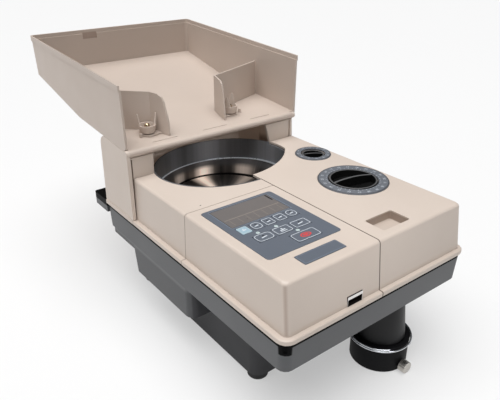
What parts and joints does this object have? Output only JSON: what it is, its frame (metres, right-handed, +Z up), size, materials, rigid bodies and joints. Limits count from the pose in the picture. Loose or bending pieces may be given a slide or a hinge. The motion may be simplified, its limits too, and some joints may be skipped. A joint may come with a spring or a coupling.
{
  "type": "coin sorting machine",
  "caption": "Desktop coin sorter: beige covers over a black base, round coin well with spinning disc, folding coin tray, two setting dials, key panel and bag tube.",
  "frame": {"origin": "centre of the bounding box on the ground, with the coin tray unfolded to the rear", "axes": "+X to the operator's right, +Y towards the rear and the coin tray, +Z up"},
  "size_m": [0.2702, 0.5834, 0.316],
  "materials": {
    "beige_plastic": "fine satin moulded, warm beige",
    "black_plastic": "semi-matte moulded black",
    "gloss_black": "glossy black",
    "blue_grey_film": "satin printed polyester film",
    "light_blue_film": "satin printed polyester film",
    "smoked_window": "smoked clear window",
    "black_rubber": "matte",
    "brushed_metal": "brushed stainless steel",
    "chrome_metal": "bright chrome plate",
    "circuit_board": "solder mask"
  },
  "bodies": {
    "machine": {"panel_housing": "beige_plastic", "disc_cover": "beige_plastic", "rear_housing": "beige_plastic", "base_shell": "black_plastic", "exit_tube": "black_plastic", "stop_solenoid": "black_plastic", "power_inlet": "black_plastic", "exit_collar": "gloss_black", "control_overlay": "blue_grey_film", "nameplate": "blue_grey_film", "display_window": "smoked_window", "foot_1": "black_rubber", "foot_2": "black_rubber", "foot_3": "black_rubber", "foot_4": "black_rubber", "drive_belt": "black_rubber", "bottom_plate": "brushed_metal", "deck_plate": "brushed_metal", "well_wall": "brushed_metal", "bearing_housing": "brushed_metal", "drive_motor": "brushed_metal", "coin_rail": "brushed_metal", "dial_bridge": "brushed_metal", "data_port": "brushed_metal", "tray_hinge_rod": "brushed_metal", "panel_board": "circuit_board", "main_board": "circuit_board"},
    "right_cover": {"right_cover": "beige_plastic", "diameter_ring": "blue_grey_film", "thickness_ring": "blue_grey_film"},
    "disc": {"sorting_disc": "brushed_metal", "disc_spindle": "brushed_metal", "spindle_pulley": "black_plastic"},
    "motor_pulley": {"motor_pulley": "brushed_metal"},
    "feed_roller": {"feed_roller": "black_rubber"},
    "diameter_knob": {"diameter_knob": "gloss_black"},
    "diameter_rail": {"diameter_rail": "brushed_metal"},
    "thickness_knob": {"thickness_knob": "gloss_black"},
    "thickness_gate": {"thickness_gate": "brushed_metal"},
    "stop_pin": {"stop_pin": "brushed_metal"},
    "tray": {"coin_tray": "beige_plastic", "tray_guide_left": "beige_plastic", "tray_guide_right": "beige_plastic", "guide_stud_left": "brushed_metal", "guide_stud_right": "brushed_metal"},
    "nut_left": {"guide_nut_left": "beige_plastic"},
    "nut_right": {"guide_nut_right": "beige_plastic"},
    "bag_hoop": {"bag_hoop": "chrome_metal"},
    "collar_screw": {"collar_screw": "chrome_metal"},
    "power_rocker": {"power_rocker": "black_plastic"},
    "key_1": {"key_1": "light_blue_film"},
    "key_2": {"key_2": "blue_grey_film"},
    "key_3": {"key_3": "blue_grey_film"},
    "key_4": {"key_4": "blue_grey_film"},
    "key_5": {"key_5": "blue_grey_film"},
    "key_6": {"key_6": "blue_grey_film"},
    "key_7": {"key_7": "blue_grey_film"},
    "key_8": {"key_8": "blue_grey_film"},
    "key_9": {"key_9": "blue_grey_film"}
  },
  "joints": [
    {"name": "tray_fold", "type": "hinge", "parent": "machine", "child": "tray", "pos_m": [0.00008, 0.00352, 0.2185], "axis": [1, 0, 0], "range_deg": [0, 143]},
    {"name": "right_cover_lift", "type": "hinge", "parent": "machine", "child": "right_cover", "pos_m": [0.06508, 0.00142, 0.187], "axis": [1, 0, 0], "range_deg": [-60, 0]},
    {"name": "disc_spin", "type": "hinge", "parent": "machine", "child": "disc", "pos_m": [-0.00792, -0.01448, 0.128], "axis": [0, 0, 1], "continuous": true},
    {"name": "motor_pulley_spin", "type": "hinge", "parent": "machine", "child": "motor_pulley", "pos_m": [-0.05692, -0.13648, 0.088], "axis": [0, 0, 1], "continuous": true},
    {"name": "feed_roller_spin", "type": "hinge", "parent": "machine", "child": "feed_roller", "pos_m": [0.04408, -0.13648, 0.149], "axis": [1, 0, 0], "continuous": true},
    {"name": "diameter_knob_turn", "type": "hinge", "parent": "machine", "child": "diameter_knob", "pos_m": [0.07908, -0.16018, 0.178], "axis": [0, 0, 1], "range_deg": [-150, 150]},
    {"name": "diameter_rail_slide", "type": "slide", "parent": "machine", "child": "diameter_rail", "axis": [1, 0, 0], "range_m": [-0.01, 0.01]},
    {"name": "thickness_knob_turn", "type": "hinge", "parent": "machine", "child": "thickness_knob", "pos_m": [0.09958, -0.06888, 0.178], "axis": [0, 0, 1], "range_deg": [-120, 120]},
    {"name": "thickness_gate_slide", "type": "slide", "parent": "machine", "child": "thickness_gate", "axis": [0, 0, 1], "range_m": [-0.0015, 0.0015]},
    {"name": "stop_pin_drop", "type": "slide", "parent": "machine", "child": "stop_pin", "axis": [0, 0, -1], "range_m": [0, 0.004], "stiffness_N_per_m": 400, "springref_m": -0.002},
    {"name": "nut_left_turn", "type": "hinge", "parent": "tray", "child": "nut_left", "pos_m": [-0.08592, 0.03752, 0.233], "axis": [0, 0, 1], "continuous": true},
    {"name": "nut_right_turn", "type": "hinge", "parent": "tray", "child": "nut_right", "pos_m": [0.04308, 0.04152, 0.233], "axis": [0, 0, 1], "continuous": true},
    {"name": "bag_hoop_lift", "type": "slide", "parent": "machine", "child": "bag_hoop", "axis": [0, 0, 1], "range_m": [0, 0.02]},
    {"name": "collar_screw_turn", "type": "hinge", "parent": "machine", "child": "collar_screw", "pos_m": [0.04858, -0.28648, 0.0077], "axis": [0, 1, 0], "continuous": true},
    {"name": "power_rocker_tilt", "type": "hinge", "parent": "machine", "child": "power_rocker", "pos_m": [-0.01092, 0.07102, 0.04], "axis": [1, 0, 0], "range_deg": [-14, 0]},
    {"name": "key_1_press", "type": "slide", "parent": "machine", "child": "key_1", "axis": [0, 0, -1], "range_m": [0, 0.0005], "stiffness_N_per_m": 500, "springref_m": -0.0005},
    {"name": "key_2_press", "type": "slide", "parent": "machine", "child": "key_2", "axis": [0, 0, -1], "range_m": [0, 0.0005], "stiffness_N_per_m": 500, "springref_m": -0.0005},
    {"name": "key_3_press", "type": "slide", "parent": "machine", "child": "key_3", "axis": [0, 0, -1], "range_m": [0, 0.0005], "stiffness_N_per_m": 500, "springref_m": -0.0005},
    {"name": "key_4_press", "type": "slide", "parent": "machine", "child": "key_4", "axis": [0, 0, -1], "range_m": [0, 0.0005], "stiffness_N_per_m": 500, "springref_m": -0.0005},
    {"name": "key_5_press", "type": "slide", "parent": "machine", "child": "key_5", "axis": [0, 0, -1], "range_m": [0, 0.0005], "stiffness_N_per_m": 500, "springref_m": -0.0005},
    {"name": "key_6_press", "type": "slide", "parent": "machine", "child": "key_6", "axis": [0, 0, -1], "range_m": [0, 0.0005], "stiffness_N_per_m": 500, "springref_m": -0.0005},
    {"name": "key_7_press", "type": "slide", "parent": "machine", "child": "key_7", "axis": [0, 0, -1], "range_m": [0, 0.0005], "stiffness_N_per_m": 500, "springref_m": -0.0005},
    {"name": "key_8_press", "type": "slide", "parent": "machine", "child": "key_8", "axis": [0, 0, -1], "range_m": [0, 0.0005], "stiffness_N_per_m": 500, "springref_m": -0.0005},
    {"name": "key_9_press", "type": "slide", "parent": "machine", "child": "key_9", "axis": [0, 0, -1], "range_m": [0, 0.0005], "stiffness_N_per_m": 500, "springref_m": -0.0005}
  ],
  "couplings": [
    {"joint": "motor_pulley_spin", "follows": "disc_spin", "ratio": 3.1667},
    {"joint": "feed_roller_spin", "follows": "disc_spin", "ratio": 3},
    {"joint": "diameter_rail_slide", "follows": "diameter_knob_turn", "m_per_rad": 0.0038},
    {"joint": "thickness_gate_slide", "follows": "thickness_knob_turn", "m_per_rad": 0.0007}
  ]
}
